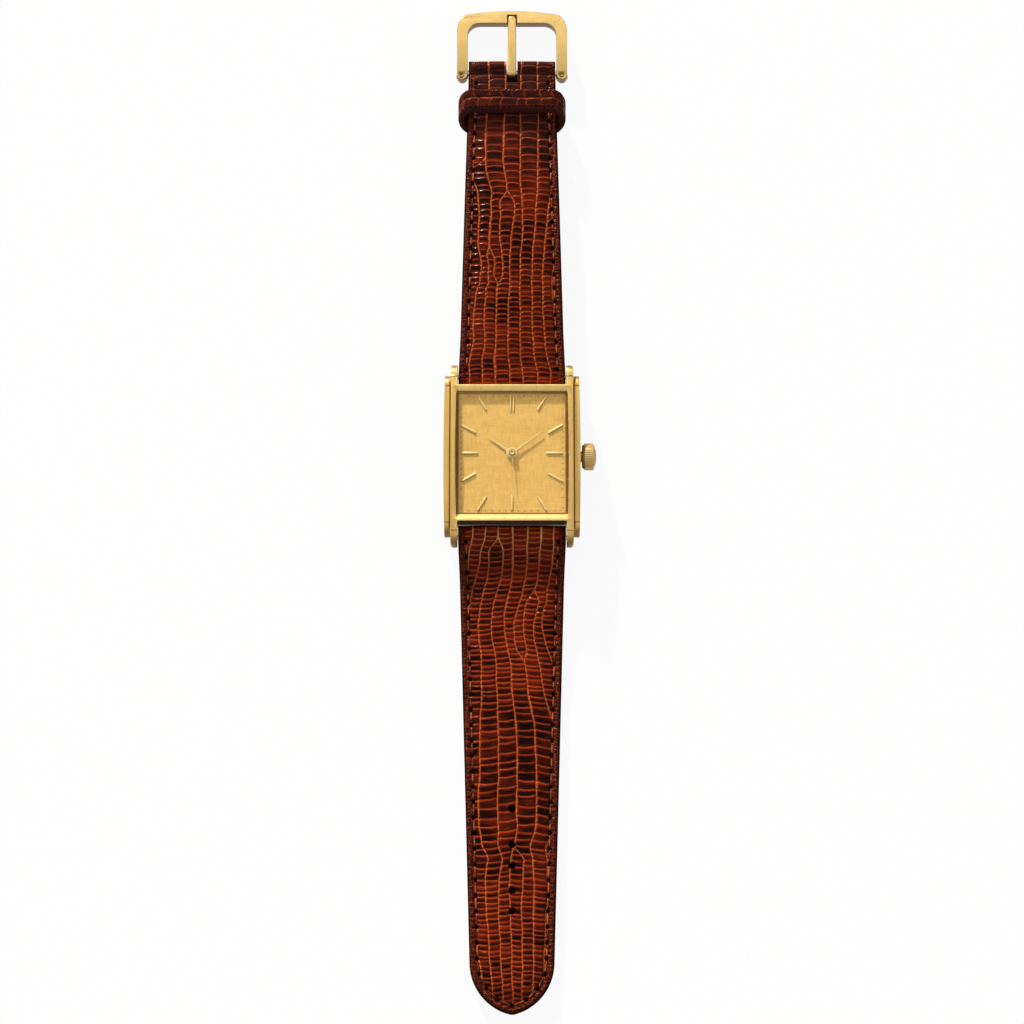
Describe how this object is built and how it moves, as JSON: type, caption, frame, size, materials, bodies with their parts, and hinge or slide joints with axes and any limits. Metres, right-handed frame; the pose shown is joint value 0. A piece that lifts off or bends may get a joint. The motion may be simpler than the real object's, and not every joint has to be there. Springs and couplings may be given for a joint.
{
  "type": "wristwatch",
  "caption": "Rectangular gold dress watch with baton dial, ribbed crown, hand-wound movement, lizard-grained leather strap and pin buckle, laid out flat.",
  "frame": {"origin": "middle of the case back's resting face, on the table", "axes": "+X towards the crown, +Y towards twelve o'clock, +Z out of the dial"},
  "size_m": [0.0282, 0.1907, 0.0071],
  "materials": {
    "gold_case": "satin yellow gold",
    "gold_trim": "polished yellow gold",
    "gold_buckle": "satin yellow gold",
    "crystal": "polished mineral glass",
    "gasket": "matt black",
    "ring_brass": "turned brass",
    "dial": "satin gold with a fine horizontal grain",
    "plate": "nickel plated and grained",
    "bridge": "nickel plated and grained",
    "steel": "grained steel",
    "blued_steel": "blued steel",
    "jewel": "polished synthetic ruby",
    "wheel_brass": "gilt brass",
    "lizard": "glossy lizard-grained leather with orange-brown grooves",
    "lining": "smooth matt leather"
  },
  "bodies": {
    "case": {"middle_case": "gold_case", "case_back": "gold_case", "back_gasket": "gasket", "crystal": "crystal", "crystal_gasket": "gasket", "movement_ring": "ring_brass", "crown_tube": "gold_case", "dial": "dial", "hour_markers": "gold_trim", "mainplate": "plate", "barrel_bridge": "bridge", "train_bridge": "bridge", "pallet_bridge": "bridge", "balance_cock": "bridge", "regulator": "steel", "jewels": "jewel", "bridge_screws": "blued_steel", "click_spring": "steel", "setting_lever_spring": "steel", "hairspring": "blued_steel", "spring_bar_12": "steel", "spring_bar_6": "steel"},
    "seconds": {"fourth_wheel": "wheel_brass", "seconds_hand": "gold_trim"},
    "third": {"third_wheel": "wheel_brass"},
    "minute": {"centre_wheel": "wheel_brass", "cannon_pinion": "steel", "minute_hand": "gold_trim"},
    "hour": {"hour_wheel": "wheel_brass", "hour_hand": "gold_trim"},
    "minute_wheel": {"minute_wheel": "wheel_brass"},
    "setting_wheel": {"setting_wheel": "steel"},
    "escape": {"escape_wheel": "steel"},
    "barrel": {"barrel": "wheel_brass", "barrel_cover": "wheel_brass", "mainspring": "blued_steel"},
    "ratchet": {"ratchet_wheel": "steel", "ratchet_screw": "blued_steel", "barrel_arbor": "steel"},
    "crown_wheel": {"crown_wheel": "steel"},
    "click": {"click": "steel"},
    "fork": {"pallet_fork": "steel"},
    "balance": {"balance_wheel": "wheel_brass", "roller": "jewel"},
    "winding_pinion": {"winding_pinion": "steel"},
    "sliding_pinion": {"sliding_pinion": "steel"},
    "stem": {"winding_stem": "steel", "crown": "gold_case", "crown_gasket": "gasket"},
    "setting_lever": {"setting_lever": "steel"},
    "yoke": {"yoke": "steel"},
    "strap_12": {"strap_12_upper": "lizard", "strap_12_lining": "lining", "keeper": "lizard"},
    "strap_6": {"strap_6_upper": "lizard", "strap_6_lining": "lining"},
    "buckle": {"buckle_frame": "gold_buckle", "buckle_bar": "steel"},
    "tongue": {"buckle_tongue": "gold_buckle"}
  },
  "joints": [
    {"name": "seconds_spin", "type": "hinge", "parent": "case", "child": "seconds", "pos_m": [0, 0, 0.002], "axis": [0, 0, -1], "continuous": true},
    {"name": "third_spin", "type": "hinge", "parent": "case", "child": "third", "pos_m": [-0.00372, -0.00173, 0.002], "axis": [0, 0, -1], "continuous": true},
    {"name": "minute_spin", "type": "hinge", "parent": "case", "child": "minute", "pos_m": [0, 0, 0.002], "axis": [0, 0, -1], "continuous": true},
    {"name": "hour_spin", "type": "hinge", "parent": "case", "child": "hour", "pos_m": [0, 0, 0.002], "axis": [0, 0, -1], "continuous": true},
    {"name": "minute_wheel_spin", "type": "hinge", "parent": "case", "child": "minute_wheel", "pos_m": [0.00112, 0.00212, 0.002], "axis": [0, 0, -1], "continuous": true},
    {"name": "setting_wheel_spin", "type": "hinge", "parent": "case", "child": "setting_wheel", "pos_m": [0.00295, 0, 0.002], "axis": [0, 0, -1], "continuous": true},
    {"name": "escape_spin", "type": "hinge", "parent": "case", "child": "escape", "pos_m": [0.00267, -0.00318, 0.002], "axis": [0, 0, -1], "continuous": true},
    {"name": "barrel_spin", "type": "hinge", "parent": "case", "child": "barrel", "pos_m": [0.00151, 0.0046, 0.002], "axis": [0, 0, -1], "continuous": true},
    {"name": "fork_swing", "type": "hinge", "parent": "case", "child": "fork", "pos_m": [0.00151, -0.00518, 0.002], "axis": [0, 0, 1], "range_deg": [-5, 5]},
    {"name": "balance_swing", "type": "hinge", "parent": "case", "child": "balance", "pos_m": [0.00006, -0.00769, 0.002], "axis": [0, 0, 1], "range_deg": [-270, 270], "stiffness_Nm_per_rad": 0.00000005},
    {"name": "crown_turn", "type": "hinge", "parent": "case", "child": "winding_pinion", "pos_m": [0.00623, 0, 0.00265], "axis": [1, 0, 0], "continuous": true},
    {"name": "crown_pull", "type": "slide", "parent": "winding_pinion", "child": "stem", "axis": [1, 0, 0], "range_m": [0, 0.0008]},
    {"name": "sliding_pinion_shift", "type": "slide", "parent": "winding_pinion", "child": "sliding_pinion", "axis": [1, 0, 0], "range_m": [-0.0006, 0]},
    {"name": "crown_wheel_spin", "type": "hinge", "parent": "case", "child": "crown_wheel", "pos_m": [0.0041, 0, 0.002], "axis": [0, 0, 1], "continuous": true},
    {"name": "ratchet_spin", "type": "hinge", "parent": "case", "child": "ratchet", "pos_m": [0.00151, 0.0046, 0.002], "axis": [0, 0, 1], "continuous": true},
    {"name": "click_lift", "type": "hinge", "parent": "case", "child": "click", "pos_m": [-0.0022, 0.0076, 0.002], "axis": [0, 0, 1], "range_deg": [0, 8], "stiffness_Nm_per_rad": 0.000001},
    {"name": "yoke_swing", "type": "hinge", "parent": "case", "child": "yoke", "pos_m": [0.0051, -0.0033, 0.002], "axis": [0, 0, 1], "range_deg": [0, 10.43]},
    {"name": "setting_lever_swing", "type": "hinge", "parent": "case", "child": "setting_lever", "pos_m": [0.00788, -0.0022, 0.002], "axis": [0, 0, 1], "range_deg": [-20.84, 0]},
    {"name": "strap_12_hinge", "type": "hinge", "parent": "case", "child": "strap_12", "pos_m": [0, 0.01535, 0.0026], "axis": [1, 0, 0], "range_deg": [-90, 30]},
    {"name": "strap_6_hinge", "type": "hinge", "parent": "case", "child": "strap_6", "pos_m": [0, -0.01535, 0.0026], "axis": [-1, 0, 0], "range_deg": [-90, 30]},
    {"name": "buckle_hinge", "type": "hinge", "parent": "strap_12", "child": "buckle", "pos_m": [0, 0.076, 0.00162], "axis": [1, 0, 0], "range_deg": [-90, 30]},
    {"name": "tongue_hinge", "type": "hinge", "parent": "buckle", "child": "tongue", "pos_m": [0, 0.076, 0.00162], "axis": [1, 0, 0], "range_deg": [0, 85]}
  ],
  "couplings": [
    {"joint": "third_spin", "follows": "seconds_spin", "ratio": -0.13333},
    {"joint": "minute_spin", "follows": "seconds_spin", "ratio": 0.016667},
    {"joint": "hour_spin", "follows": "seconds_spin", "ratio": 0.0013889},
    {"joint": "minute_wheel_spin", "follows": "seconds_spin", "ratio": -0.0055556},
    {"joint": "setting_wheel_spin", "follows": "seconds_spin", "ratio": 0.01},
    {"joint": "escape_spin", "follows": "seconds_spin", "ratio": -10},
    {"joint": "barrel_spin", "follows": "seconds_spin", "ratio": -0.002381},
    {"joint": "crown_wheel_spin", "follows": "crown_turn", "ratio": 0.66667},
    {"joint": "ratchet_spin", "follows": "crown_turn", "ratio": -0.44444},
    {"joint": "sliding_pinion_shift", "follows": "crown_pull", "ratio": -0.75},
    {"joint": "yoke_swing", "follows": "crown_pull", "rad_per_m": 227.27},
    {"joint": "setting_lever_swing", "follows": "crown_pull", "rad_per_m": -454.55}
  ]
}
